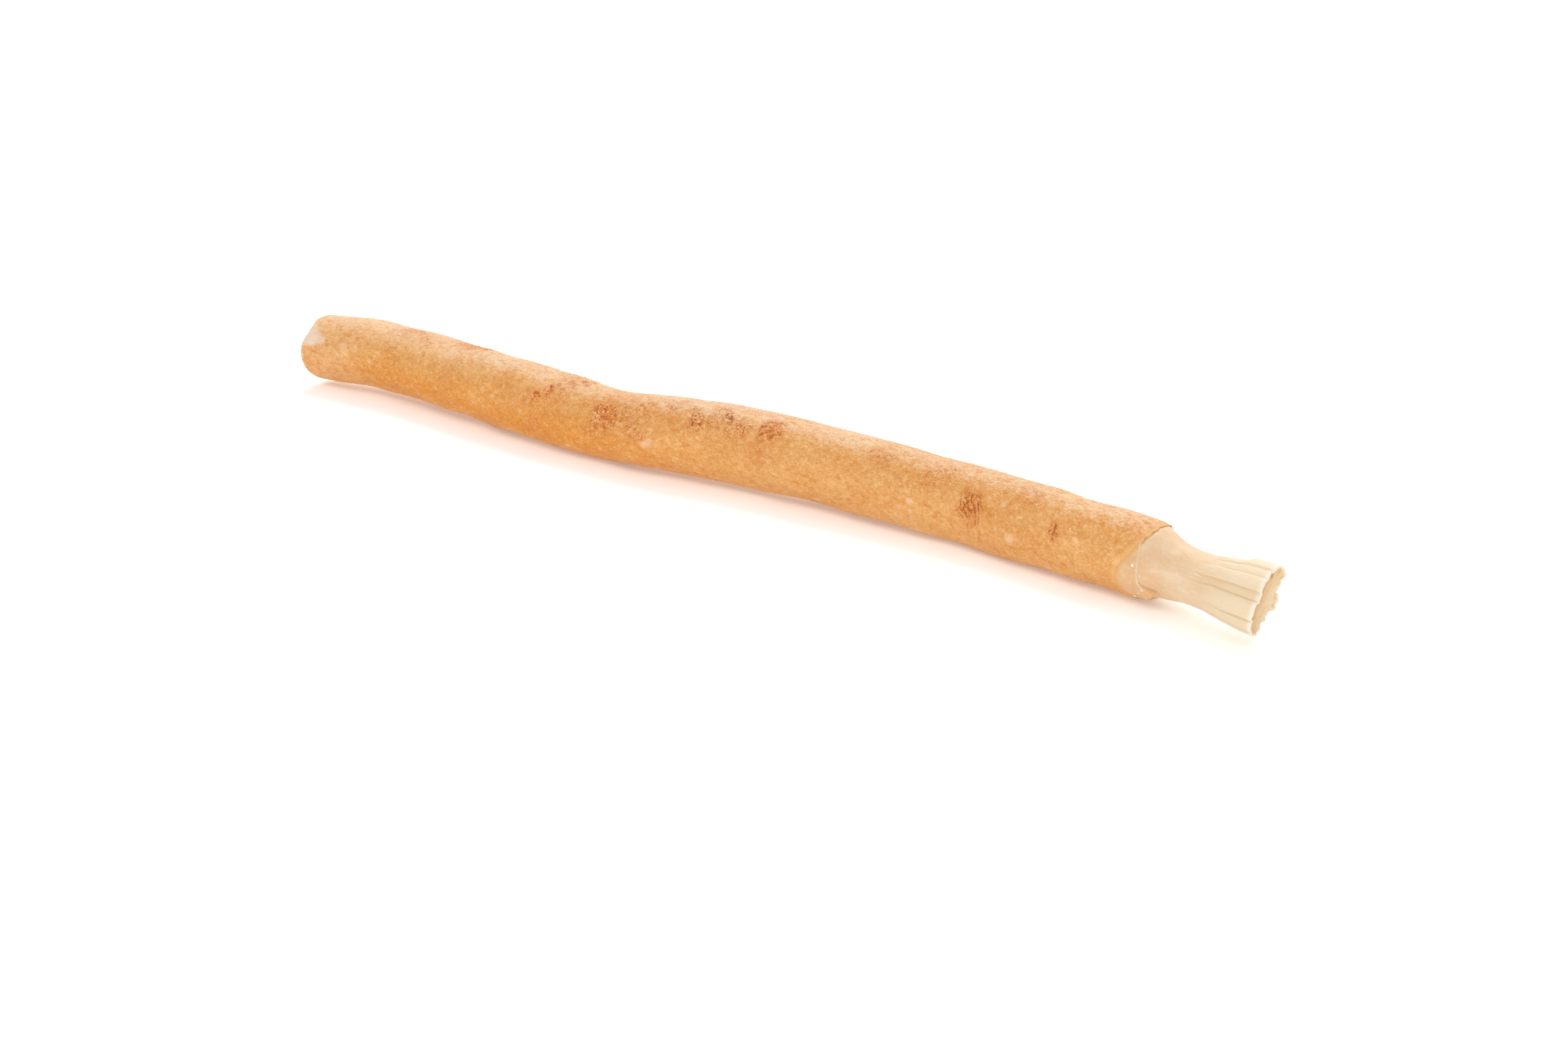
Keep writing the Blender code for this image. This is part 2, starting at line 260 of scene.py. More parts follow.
# Fibres on the bark: piece, seed, count, length, width, curl, lift, points along each, and if only on scars.
FIBRE_LAYERS = (
    ("bark_fuzz", 61, 10600, 0.62, 0.11, 2.0, 0.022, 5, False),
    ("bark_felt", 67, 16000, 0.50, 0.16, 1.5, 0.010, 4, False),
    ("scar_fibres", 69, 6500, 0.34, 0.085, 2.6, 0.04, 5, True),
)

# Rings and sides of the smooth pieces.
BARK_RINGS = 590
BARK_SIDES = 144
BAND_SIDES = 160
BRUSH_RINGS = 132
BRUSH_SIDES = 288
FACE_RINGS = 16

# The view: the camera's place in metres, its heading, its tilt below the level, and its lens.
CAMERA_PLACE = (0.21211, -0.22766, 0.0987)
CAMERA_HEADING = 42.06
CAMERA_TILT = 18.28
CAMERA_LENS = 63.0

# The unrolled bark map: its range along the stick, its cell and the stick's mean girth.
MAP_START = -1.0
MAP_STOP = 138.0
MAP_CELL = 0.07
GIRTH = 28.8
MAP_ROWS = round((MAP_STOP - MAP_START) / MAP_CELL) + 1
MAP_COLUMNS = round(GIRTH / MAP_CELL)
MAP_S = MAP_START + MAP_CELL * np.arange(MAP_ROWS)
MAP_THETA = 360.0 * np.arange(MAP_COLUMNS) / MAP_COLUMNS


class CentreLine:
    """A smooth line through the axis points, measured by its length."""

    def __init__(self, points, per_span=24):
        knots = np.array(points)
        knots = np.vstack([2 * knots[0] - knots[1], knots, 2 * knots[-1] - knots[-2]])
        t = (np.arange(per_span) / per_span)[:, None]
        spans = [
            0.5 * (2 * b + (c - a) * t + (2 * a - 5 * b + 4 * c - d) * t**2 + (3 * b - a - 3 * c + d) * t**3)
            for a, b, c, d in zip(knots, knots[1:], knots[2:], knots[3:])
        ]
        self.samples = np.vstack(spans + [knots[-2:-1]])
        steps = np.linalg.norm(np.diff(self.samples[:, :3], axis=0), axis=1)
        self.lengths = np.concatenate([[0.0], np.cumsum(steps)])
        self.total = self.lengths[-1]

    def at(self, s):
        """Centres at distances s."""
        return np.stack([np.interp(s, self.lengths, column) for column in self.samples.T[:3]], axis=-1)

    def radius(self, s):
        """Bark radius at distances s."""
        return np.interp(s, self.lengths, self.samples[:, 3])

    def place(self, s, theta, distance):
        """Points at a distance from the line, and the directions outwards."""
        inside = np.clip(s, 0.0, self.total)
        ahead = self.at(np.minimum(inside + 0.5, self.total))
        behind = self.at(np.maximum(inside - 0.5, 0.0))
        along = (ahead - behind) / np.linalg.norm(ahead - behind, axis=-1, keepdims=True)
        centre = self.at(inside) + (s - inside)[..., None] * along
        front = np.cross(along, (0.0, 0.0, 1.0))
        front /= np.linalg.norm(front, axis=-1, keepdims=True)
        up = np.cross(front, along)
        turn = np.radians(theta)[..., None]
        outwards = np.sin(turn) * front + np.cos(turn) * up
        return centre + distance[..., None] * outwards, outwards


LINE = CentreLine(AXIS)


def turned(theta, side):
    """Angle from a side, between -180 and 180 degrees."""
    return (theta - side + 180.0) % 360.0 - 180.0


def smooth_step(value):
    """From 0 to 1 without corners."""
    value = np.clip(value, 0.0, 1.0)
    return value * value * (3.0 - 2.0 * value)


def bell(theta, side, spread):
    """From 1 at a side of the stick, smoothly to 0 away from it."""
    return np.exp(-((turned(theta, side) / spread) ** 2))


def ragged_ring(chance, theta, knots=120):
    """Random heights round the stick, straight between their knots."""
    heights = np.append(chance.normal(size=knots), 0.0)
    return np.interp(theta % 360.0, np.linspace(0.0, 360.0, knots + 1), heights)


def between_knots(field, row, column, smooth=False):
    """A grid's values between its knots, with its last column next to its first."""
    r = np.floor(row).astype(int)
    c = np.floor(column).astype(int)
    row_share = row - r
    column_share = column - c
    if smooth:
        row_share = smooth_step(row_share)
        column_share = smooth_step(column_share)
    c = c % field.shape[1]
    after = (c + 1) % field.shape[1]
    low = field[r, c] * (1 - column_share) + field[r, after] * column_share
    high = field[r + 1, c] * (1 - column_share) + field[r + 1, after] * column_share
    return low * (1 - row_share) + high * row_share


def edge_at(theta, column):
    """A column of the edges' table at each angle, a little smoothed."""
    angles = [row[0] for row in EDGES]
    ends = [row[column] for row in EDGES]
    steps = (-4.0, -2.0, 0.0, 2.0, 4.0)
    return sum(np.interp(theta + step, angles, ends, period=360.0) for step in steps) / len(steps)


def bark_end(theta):
    """Where the bark stops, along the stick."""
    return edge_at(theta, 1)


def band_end(theta):
    """Where the inner bark stops."""
    return edge_at(theta, 2)


def shoulder_start(theta):
    """Where the peeled wood starts to narrow, earlier on the back."""
    return SHOULDER_START - BACK_DIP * bell(theta, BACK_SIDE, BACK_SPREAD)


def outline_trim(s, theta):
    """What the outline's corrections add to the bark's radius."""
    places = [row[0] for row in OUTLINE]
    trim = 0.0
    for side, column in ((UPPER_SIDE, 1), (LOWER_SIDE, 2)):
        added = [row[column] for row in OUTLINE]
        smooth = sum(np.interp(s + step, places, added) for step in (-1.5, -0.5, 0.5, 1.5)) / 4.0
        trim = trim + smooth * bell(theta, side, OUTLINE_SPREAD)
    return trim


def bark_radius(s, theta):
    """Distance from the centre line to the bark without its fine relief."""
    radius = LINE.radius(s) * (1 + OVALITY * np.cos(np.radians(2 * (theta - 70.0)))) + outline_trim(s, theta)
    for height, length, around, phase in SWELLS:
        radius = radius + height * np.sin(2 * np.pi * s / length + around * np.radians(theta) + phase)
    part_way = np.clip(1.0 - (bark_end(theta) - s) / UNDER_TAPER_LENGTH, 0.0, 1.0)
    below = 0.5 - 0.5 * np.cos(np.radians(theta))
    radius = radius - UNDER_TAPER * below * part_way
    rounding = RIM_ROUNDING - SQUARER_RIM * bell(theta, SQUARER_SIDE, SQUARER_SPREAD)
    left = np.clip(rounding - (s - FAR_END), 0.0, rounding)
    return radius - rounding + np.sqrt(rounding**2 - left**2)


def peeled_radius(s, theta):
    """Distance from the centre line to the peeled wood."""
    past = np.maximum(s - shoulder_start(theta), 0.0)
    below = (0.5 - 0.5 * np.cos(np.radians(theta))) ** 2
    past = past + SHOULDER_SHIFT * below * np.exp(-past / SHOULDER_FADE)
    distances, radii = zip(*PEELED)
    return np.interp(past, distances, radii)


def spline_weights(places, count, wrap):
    """Weights of a smooth curve's knots at each place, as a matrix."""
    first = np.floor(places).astype(int)
    f = places - first
    weights = np.zeros((len(places), count))
    parts = ((1 - f) ** 3, 3 * f**3 - 6 * f**2 + 4, -3 * f**3 + 3 * f**2 + 3 * f + 1, f**3)
    for step, part in enumerate(parts):
        knot = first + step - 1
        knot = knot % count if wrap else np.clip(knot, 0, count - 1)
        np.add.at(weights, (np.arange(len(places)), knot), part / 6.0)
    return weights


def noise_map(chance, along, around):
    """Smooth random map with blobs of the given length and width, and a spread of 1."""
    rows = math.ceil((MAP_STOP - MAP_START) / along) + 4
    columns = max(round(GIRTH / around), 3)
    knots = chance.normal(size=(rows, columns))
    by_row = spline_weights((MAP_S - MAP_START) / along + 1.0, rows, False)
    by_column = spline_weights(MAP_THETA / 360.0 * columns, columns, True)
    field = by_row @ knots @ by_column.T
    return field / field.std()


def stroke_map(chance, count, length, spread, curl):
    """Map of many short curved strokes, each highest in its middle."""
    steps = 18
    share = np.linspace(-0.5, 0.5, steps)
    heading = chance.normal(0.0, spread, (count, 1))
    bend = chance.normal(0.0, curl, (count, 1))
    reach = length * chance.uniform(0.5, 1.4, (count, 1))
    angle = heading + bend * share
    s = chance.uniform(MAP_START, MAP_STOP, (count, 1)) + np.cumsum(np.cos(angle), axis=1) * reach / steps
    arc = chance.uniform(0.0, GIRTH, (count, 1)) + np.cumsum(np.sin(angle), axis=1) * reach / steps
    height = chance.uniform(0.35, 1.0, (count, 1)) * (1 - (2 * share) ** 2)
    field = np.zeros((MAP_ROWS, MAP_COLUMNS))
    row = np.round((s - MAP_START) / MAP_CELL).astype(int)
    column = np.round(arc / MAP_CELL).astype(int)
    for row_step in (-1, 0, 1):
        for column_step in (-1, 0, 1):
            fade = 0.55 ** (abs(row_step) + abs(column_step))
            rows = np.clip(row + row_step, 0, MAP_ROWS - 1)
            columns = (column + column_step) % MAP_COLUMNS
            np.maximum.at(field, (rows, columns), fade * height)
    return field


def scar_maps(chance):
    """Maps of the scars: swelling height, stain, pits, the cracks' strength and phase, and the cracks."""
    s = MAP_S[:, None]
    height = np.zeros((MAP_ROWS, MAP_COLUMNS))
    stains = np.zeros_like(height)
    pits = np.zeros_like(height)
    strength = np.zeros_like(height)
    phase = np.zeros_like(height)
    nearest = np.zeros_like(height)
    ragged = noise_map(chance, 0.9, 0.7)
    clumps = noise_map(chance, 0.42, 0.36)
    for at, side, half_length, half_width, swelling, stain, pit, crack, slant in SCARS:
        arc = turned(MAP_THETA, side)[None, :] / 360.0 * GIRTH
        spread = ((s - at) / half_length) ** 2 + (arc / half_width) ** 2
        near = np.exp(-spread)
        worn = np.clip(1.15 * near + 0.25 * ragged * near**0.5, 0.0, 1.0)
        height += swelling * near
        stains = np.maximum(stains, stain * worn)
        pits = np.maximum(pits, pit * worn)
        cracked = np.clip(1.2 * near + 0.35 * ragged * near**0.5, 0.0, 1.0)
        strength = np.maximum(strength, crack * cracked)
        own = (s - at - slant * arc) / (CRACK_SPACING * math.hypot(1.0, slant))
        phase = np.where(near > nearest, own, phase)
        nearest = np.maximum(nearest, near)
    phase += 0.30 * ragged
    cracks = strength * np.exp(-(((phase - np.round(phase)) / 0.18) ** 2))
    height += 0.045 * clumps * pits
    return height, stains, pits, strength, phase, cracks


def fleck_map(chance):
    """Map of pale flecks, where the skin of the bark is lost."""
    s = MAP_S[:, None]
    ragged = noise_map(chance, 0.7, 0.5)
    places = list(FLECKS)
    for _ in range(16):
        places.append((chance.uniform(5.0, 130.0), chance.uniform(0.0, 360.0), chance.uniform(0.2, 0.5)))
    field = np.zeros((MAP_ROWS, MAP_COLUMNS))
    for at, side, size in places:
        arc = turned(MAP_THETA, side)[None, :] / 360.0 * GIRTH
        near = np.exp(-(((s - at) / (1.3 * size)) ** 2) - (arc / size) ** 2)
        field = np.maximum(field, np.clip(0.95 * near + 0.4 * ragged * near**0.7, 0.0, 1.0))
    return field


def make_maps():
    """Every map of the bark: fine relief, scar stains, pits, cracks, flecks and the felt's tone."""
    chance = np.random.default_rng(11)
    swelling, stains, pits, strength, phase, cracks = scar_maps(chance)
    flecks = fleck_map(chance)
    felt = stroke_map(chance, 42000, 0.8, 0.7, 1.8)
    lumps = noise_map(chance, 2.4, 1.3)
    grit = noise_map(chance, 0.45, 0.32)
    rough = 0.6 + 2.2 * pits
    relief = swelling + 0.030 * lumps + rough * (0.014 * grit + 0.035 * felt)
    relief -= 0.13 * cracks + 0.02 * flecks
    tone_and_shade = 0.8 * felt + 0.12 * grit + 0.10 * lumps
    tone_and_shade = (tone_and_shade - tone_and_shade.mean()) / tone_and_shade.std()
    return {
        "relief": relief - 0.03,
        "scar": stains,
        "pit": pits,
        "crack": strength,
        "phase": phase,
        "groove": cracks,
        "pale": flecks,
        "tone_and_shade": tone_and_shade,
    }


def sampled(field, s, theta):
    """A map's values at places on the stick."""
    row = np.clip((s - MAP_START) / MAP_CELL, 0.0, MAP_ROWS - 1.001)
    return between_knots(field, row, (theta / 360.0 % 1.0) * MAP_COLUMNS)


MAPS = make_maps()


def noise_like(seed):
    """A gentle random map for smooth pieces."""
    return noise_map(np.random.default_rng(seed), 1.2, 1.0)


LUMPS = noise_like(37)


def bare_patch(s, theta):
    """How bare the torn patch at the far rim is, from 0 to 1."""
    along = (s - PATCH_MIDDLE) / PATCH_HALF_LENGTH
    half_width = np.maximum(PATCH_HALF_WIDTH - PATCH_NARROWING * s, 8.0)
    across = (turned(theta, PATCH_SIDE) - PATCH_LEAN * s) / half_width
    ragged = 0.16 * sampled(MAPS["tone_and_shade"], s, theta) + 0.30 * sampled(LUMPS, s, theta)
    return smooth_step((1.15 - np.abs(along) ** 3 - np.abs(across) ** 3 + ragged) / 1.0)


def bark_surface(s, theta):
    """Distance from the centre line to the bark with its relief."""
    at_rim = smooth_step((s - FAR_END) / 1.2)
    near_edge = smooth_step((bark_end(theta) - s) / EDGE_TAPER)
    relief = (0.3 + 0.7 * at_rim) * (0.4 + 0.6 * near_edge) * sampled(MAPS["relief"], s, theta)
    relief += bare_patch(s, theta) * (0.045 * sampled(LUMPS, s, theta) - 0.08)
    return bark_radius(s, theta) + relief - BAND_LEVEL * (1 - near_edge)


def straight(s, theta, distance):
    """The place on the stick as if it were straight, for grain that follows it."""
    turn = np.radians(theta)
    return np.stack([s, distance * np.sin(turn), distance * np.cos(turn)], axis=-1)


def chip_depth(points):
    """How far points stand over the flat of the chip in the far end's upper front edge."""
    normal = np.array(CHIP_NORMAL) / np.linalg.norm(CHIP_NORMAL)
    s, theta = np.meshgrid(np.linspace(FAR_END, 3.0, 15), np.linspace(0.0, 120.0, 25), indexing="ij")
    rim, _ = LINE.place(s, theta, bark_radius(s, theta))
    limit = (rim @ normal).max() - CHIP_DEPTH
    over = points @ normal - limit
    return np.where((over > 0) & (points[..., 0] < AXIS[0][0] + 12.0), over, 0.0)


def chipped(points):
    """Points with the chip pressed into them."""
    normal = np.array(CHIP_NORMAL) / np.linalg.norm(CHIP_NORMAL)
    return points - 0.8 * chip_depth(points)[..., None] * normal


def new_piece(name, points, faces, attributes, material):
    """A mesh piece of the stick, in metres, that rides on the stick's body."""
    mesh = bpy.data.meshes.new(name)
    points = points.copy()
    points[:, 2] = np.maximum(points[:, 2], FLOOR_GAP)
    mesh.from_pydata((MM * points).tolist(), [], faces)
    for label, values in attributes.items():
        kind = "FLOAT_VECTOR" if values.ndim == 2 else "FLOAT"
        layer = mesh.attributes.new(label, kind, "POINT")
        layer.data.foreach_set("vector" if values.ndim == 2 else "value", values.astype(np.float32).ravel())
    mesh.shade_smooth()
    mesh.materials.append(material)
    piece = bpy.data.objects.new(name, mesh)
    bpy.context.scene.collection.objects.link(piece)
    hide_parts(NODE)
    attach(piece, "root")
    return piece


def tube_faces(count, rings, sides):
    """Faces of closed tubes, each of them rings of points and then a point at either end."""
    ring, side = np.meshgrid(np.arange(rings - 1), np.arange(sides), indexing="ij")
    after = (side + 1) % sides
    low = ring * sides
    quads = np.stack([low + side, low + after, low + sides + after, low + sides + side], axis=-1)
    side = np.arange(sides)
    after = (side + 1) % sides
    last = (rings - 1) * sides
    start = np.stack([np.full(sides, rings * sides), after, side], axis=-1)
    stop = np.stack([np.full(sides, rings * sides + 1), last + side, last + after], axis=-1)
    base = (rings * sides + 2) * np.arange(count)[:, None, None]
    faces = (base + quads.reshape(-1, 4)).reshape(-1, 4).tolist()
    faces += (base + np.vstack([start, stop])).reshape(-1, 3).tolist()
    return faces


def tube_piece(name, s, around, distance, fields, material, shape=None):
    """A closed tube along the stick: its rings' places and distances, and the angles round each ring."""
    points, _ = LINE.place(s, around, distance)
    if shape:
        points = shape(points)
    grain = straight(s, around, distance)
    points = np.vstack([points.reshape(-1, 3), points[[0, -1]].mean(axis=1)])
    attributes = {"grain": np.vstack([grain.reshape(-1, 3), grain[[0, -1]].mean(axis=1)])}
    for label, values in fields.items():
        attributes[label] = np.concatenate([values.ravel(), values[[0, -1]].mean(axis=1)])
    return new_piece(name, points, tube_faces(1, *s.shape), attributes, material)


def strand_piece(name, s, theta, distance, width, flatness, sides, fields, material):
    """Many strands from grids of places, strands first. Width is each strand's, at its stations."""
    path, outwards = LINE.place(s, theta, distance)
    path = chipped(path)
    count, stations = s.shape
    ahead = np.gradient(path, axis=1)
    ahead /= np.linalg.norm(ahead, axis=-1, keepdims=True) + 1e-9
    across = np.cross(ahead, outwards)
    across /= np.linalg.norm(across, axis=-1, keepdims=True) + 1e-9
    lifted = np.cross(across, ahead)
    turn = np.pi / 2 - 2 * np.pi * np.arange(sides) / sides
    half = 0.5 * width[:, 1:-1, None, None]
    rings = path[:, 1:-1, None, :] + half * (
        np.cos(turn)[None, None, :, None] * across[:, 1:-1, None, :]
        + flatness * np.sin(turn)[None, None, :, None] * lifted[:, 1:-1, None, :]
    )
    points = np.concatenate([rings.reshape(count, -1, 3), path[:, [0, -1]]], axis=1).reshape(-1, 3)

    def per_point(values):
        inner = np.repeat(values[:, 1:-1], sides, axis=1)
        return np.concatenate([inner, values[:, [0, -1]]], axis=1)

    grain = straight(s, theta, distance)
    attributes = {"grain": per_point(grain).reshape(-1, 3)}
    for label, values in fields.items():
        attributes[label] = per_point(values).ravel()
    piece = new_piece(name, points, tube_faces(count, stations - 2, sides), attributes, material)
    if sides == 3:
        piece.data.shade_flat()
    return piece


class Shader:
    """A material's node tree, with short ways to add and join nodes."""

    def __init__(self, name):
        self.material = bpy.data.materials.new(name)
        self.material.use_nodes = True
        self.tree = self.material.node_tree
        self.surface = self.tree.nodes["Principled BSDF"]
        self.base = None

    def node(self, kind, inputs=None, **settings):
        """A new node; inputs are values or other nodes' outputs."""
        node = self.tree.nodes.new(kind)
        for key, value in settings.items():
            setattr(node, key, value)
        for key, value in (inputs or {}).items():
            if isinstance(value, bpy.types.NodeSocket):
                self.tree.links.new(value, node.inputs[key])
            else:
                node.inputs[key].default_value = value
        return node

    def attribute(self, name):
        """A number stored on the mesh."""
        return self.node("ShaderNodeAttribute", attribute_name=name).outputs["Fac"]

    def grain(self, stretch):
        """Places on the straightened stick, with each axis scaled."""
        place = self.node("ShaderNodeAttribute", attribute_name="grain").outputs["Vector"]
        scaled = self.node("ShaderNodeVectorMath", {0: place, 1: stretch}, operation="MULTIPLY")
        return scaled.outputs["Vector"]

    def place(self):
        """The place along the straightened stick, and the height over its middle."""
        parts = self.node("ShaderNodeSeparateXYZ", {"Vector": self.grain((1.0, 1.0, 1.0))}).outputs
        return parts["X"], parts["Z"]

    def noise(self, stretch, detail=3.0, roughness=0.55, distortion=0.0):
        """Noise whose blobs are 1/stretch millimetres in size."""
        inputs = {
            "Vector": self.grain(stretch),
            "Scale": 1.0,
            "Detail": detail,
            "Roughness": roughness,
            "Distortion": distortion,
        }
        return self.node("ShaderNodeTexNoise", inputs).outputs["Fac"]

    def spread(self, value, low, high, last=1.0, first=0.0):
        """From first to last as a value goes from low to high, smoothly and no further."""
        inputs = {"Value": value, "From Min": low, "From Max": high, "To Min": first, "To Max": last}
        return self.node("ShaderNodeMapRange", inputs, interpolation_type="SMOOTHSTEP").outputs["Result"]

    def math(self, operation, a, b):
        """Two numbers joined."""
        return self.node("ShaderNodeMath", {0: a, 1: b}, operation=operation).outputs["Value"]

    def times(self, a, b):
        """The product of two numbers."""
        return self.math("MULTIPLY", a, b)

    def mix(self, share, a, b):
        """Two colours mixed by a share of the second. Each is a node's output, or screen values up to 255."""
        a, b = (tint(*colour) if isinstance(colour, tuple) else colour for colour in (a, b))
        return self.node("ShaderNodeMix", {0: share, 6: a, 7: b}, data_type="RGBA").outputs[2]

    def lay(self, share, colour):
        """Lay a colour over the surface's colour so far."""
        self.base = self.mix(share, self.base, colour)

    def stain(self, value, low, high, most, colour, within=None):
        """Lay a colour as a value, or the mesh's number of that name, goes from low to high."""
        value = self.attribute(value) if isinstance(value, str) else value
        share = self.spread(value, low, high, most)
        self.lay(share if within is None else self.times(share, within), colour)

    def colour(self):
        """Give the surface the colours laid so far."""
        self.tree.links.new(self.base, self.surface.inputs["Base Color"])

    def bump(self, height, strength, distance):
        """Set the surface's fine relief."""
        inputs = {"Height": height, "Strength": strength, "Distance": distance * MM}
        bump = self.node("ShaderNodeBump", inputs)
        self.tree.links.new(bump.outputs["Normal"], self.surface.inputs["Normal"])

    def plain(self, **values):
        """Set the surface's constant values."""
        for key, value in values.items():
            self.surface.inputs[key.replace("_", " ")].default_value = value


def tint(red, green, blue):
    """An opaque colour from screen values up to 255."""

    def linear(value):
        value /= 255.0
        return value / 12.92 if value <= 0.04045 else ((value + 0.055) / 1.055) ** 2.4

    return (linear(red), linear(green), linear(blue), 1.0)


def bark_ground(shader, fibre, patchy):
    """The bark's broad colours, with painted light: a painted warm shade low on the far half, a painted
    highlight on top, painted bounce light underneath, and paler at the far end.
    """
    broad = shader.noise((0.05, 0.14, 0.14), 2.0)
    along, height = shader.place()
    shader.base = shader.mix(shader.spread(broad, 0.35, 0.65), (219, 156, 88), (224, 166, 99))
    # Painted warm shade: a darker, more golden colour low on the far half, standing for core shade and warm
    # bounce light.
    painted_low_shade = shader.times(shader.spread(along, 82.0, 52.0), shader.spread(along, 4.0, 18.0))
    painted_low_shade = shader.times(painted_low_shade, shader.spread(height, 3.4, -1.0))
    shader.lay(shader.times(painted_low_shade, 0.9), (219, 141, 46))
    shader.stain(along, 14.0, 5.0, 0.4, (232, 184, 138))
    # Painted highlight: paler peach along the top of the far half.
    painted_top_highlight = shader.times(shader.spread(along, 44.0, 22.0), shader.spread(height, 2.3, 3.8))
    shader.lay(shader.times(painted_top_highlight, 0.5), (240, 196, 150))
    # Painted highlight: pale peach along the very top, broken up by the fibre and patch noise.
    highlight_level = shader.math("ADD", height, shader.times(fibre, 3.0))
    highlight_level = shader.math("ADD", highlight_level, shader.times(patchy, 2.4))
    shader.stain(highlight_level, 6.2, 7.7, 1.0, (232, 198, 165))
    # Painted bounce light: lighter and more golden on the underside.
    shader.stain(height, -2.0, -4.2, 0.6, (240, 176, 104))


def bark_mottle(shader, fibre, fine, patchy):
    """Dark gaps and light tips of the felt, from broad patches to single fibres."""
    mottled = shader.noise((0.20, 0.42, 0.42), 3.0, 0.55, 0.4)
    tone_and_shade = shader.attribute("tone_and_shade")
    _, height = shader.place()
    # Darks fade towards the top, so the painted highlight there stays pale.
    darks_off_highlight = shader.spread(height, 3.0, 4.6, last=0.60, first=1.0)
    above = shader.spread(height, -2.5, 1.5, first=0.2)
    shader.stain(mottled, 0.53, 0.74, 0.30, (216, 144, 76), darks_off_highlight)
    shader.stain(mottled, 0.48, 0.30, 0.25, (238, 184, 118))
    shader.stain(fibre, 0.52, 0.70, 0.40, (246, 204, 146))
    shader.stain(fibre, 0.47, 0.30, 0.50, (206, 128, 56), darks_off_highlight)
    shader.stain(fine, 0.56, 0.72, 0.45, (250, 214, 160))
    shader.stain(fine, 0.45, 0.30, 0.50, (198, 118, 48), darks_off_highlight)
    shader.stain(patchy, 0.47, 0.32, 0.50, (208, 128, 54), above)
    shader.stain(patchy, 0.53, 0.68, 0.42, (244, 196, 144), above)
    shader.stain(tone_and_shade, 0.4, 2.6, 0.45, (248, 210, 154))
    shader.stain(tone_and_shade, 0.2, -2.2, 0.55, (202, 122, 50), darks_off_highlight)


def bark_scars(shader, fibre):
    """Rusty stains, pits and cracks of the scars. Gives back where the cracks are."""
    rust = shader.mix(shader.spread(fibre, 0.36, 0.62), (204, 110, 44), (236, 156, 86))
    shader.stain("scar", 0.04, 0.80, 0.9, rust)
    speck = shader.noise((2.2, 2.2, 2.2), 4.0, 0.75, 0.8)
    pit = shader.spread(shader.attribute("pit"), 0.15, 0.85)
    shader.stain(speck, 0.51, 0.59, 0.9, (156, 78, 26), pit)
    shader.stain(speck, 0.45, 0.36, 0.7, (250, 214, 164), pit)
    wobble = shader.times(shader.noise((2.2, 2.2, 2.2), 3.0, 0.65), 1.1)
    away = shader.math("PINGPONG", shader.math("ADD", shader.attribute("phase"), wobble), 0.5)
    broken = shader.spread(shader.noise((1.3, 1.3, 1.3), 3.0, 0.65), 0.42, 0.56)
    crack = shader.times(shader.spread(away, 0.22, 0.04), broken)
    crack = shader.times(crack, shader.spread(shader.attribute("crack"), 0.25, 0.85))
    shader.lay(shader.times(crack, 0.85), (160, 80, 28))
    return crack


def bark_bare_spots(shader):
    """Pale flecks, the far end's cut, the golden edge by the inner bark, and the bare patch."""
    shader.stain("pale", 0.1, 1.0, 0.36, (242, 210, 186))
    shader.lay(shader.attribute("wood"), (238, 204, 160))
    shader.stain("edge", 0.1, 1.0, 0.65, (232, 182, 118))
    cloud = shader.noise((0.9, 0.9, 0.9), 3.0, 0.6)
    bare = shader.mix(shader.spread(cloud, 0.4, 0.62), (232, 216, 202), (238, 206, 174))
    shader.lay(shader.times(shader.attribute("bare"), 0.85), bare)


def bark_material():
    """Dry felted bark: honey to peach, with a painted highlight on top and painted shade low down, mottled,
    with rusty scars, dark cracks and pale flecks.
    """
    shader = Shader("bark")
    fibre = shader.noise((1.7, 4.2, 4.2), 3.0, 0.6, 1.5)
    fine = shader.noise((4.0, 6.5, 6.5), 2.0, 0.6, 1.0)
    patchy = shader.noise((1.0, 1.8, 1.8), 4.0, 0.7, 0.8)
    bark_ground(shader, fibre, patchy)
    bark_mottle(shader, fibre, fine, patchy)
    crack = bark_scars(shader, fibre)
    bark_bare_spots(shader)
    shader.colour()
    rough = shader.math("ADD", shader.times(fibre, 1.5), fine)
    shader.bump(shader.math("SUBTRACT", rough, shader.times(crack, 1.6)), 0.55, 0.10)
    shader.plain(Roughness=0.85, Specular_IOR_Level=0.2, Sheen_Weight=0.2, Sheen_Roughness=0.3)
    shader.plain(Sheen_Tint=(1.0, 0.92, 0.84, 1.0))
    return shader.material


def inner_bark_material():
    """Smooth inner bark, a little translucent."""
    shader = Shader("inner_bark")
    cloud = shader.noise((0.5, 0.8, 0.8), 3.0, 0.6, 0.4)
    fine = shader.noise((2.0, 4.0, 4.0), 3.0, 0.6)
    shader.base = shader.mix(shader.spread(cloud, 0.35, 0.65), (218, 172, 125), (224, 184, 140))
    shader.stain("lip", 0.2, 0.9, 0.7, (222, 170, 106))
    shader.stain("near_bark", 0.1, 1.0, 0.8, (224, 168, 100))
    shader.stain("crease", 0.0, 1.0, 0.7, (236, 204, 166))
    shader.stain(fine, 0.6, 0.75, 0.5, (248, 222, 188))
    shader.colour()
    shader.bump(fine, 0.25, 0.06)
    shader.plain(Roughness=0.5, Specular_IOR_Level=0.4, Subsurface_Weight=0.35, Subsurface_Scale=0.001)
    shader.plain(Subsurface_Radius=(1.0, 0.7, 0.45))
    return shader.material


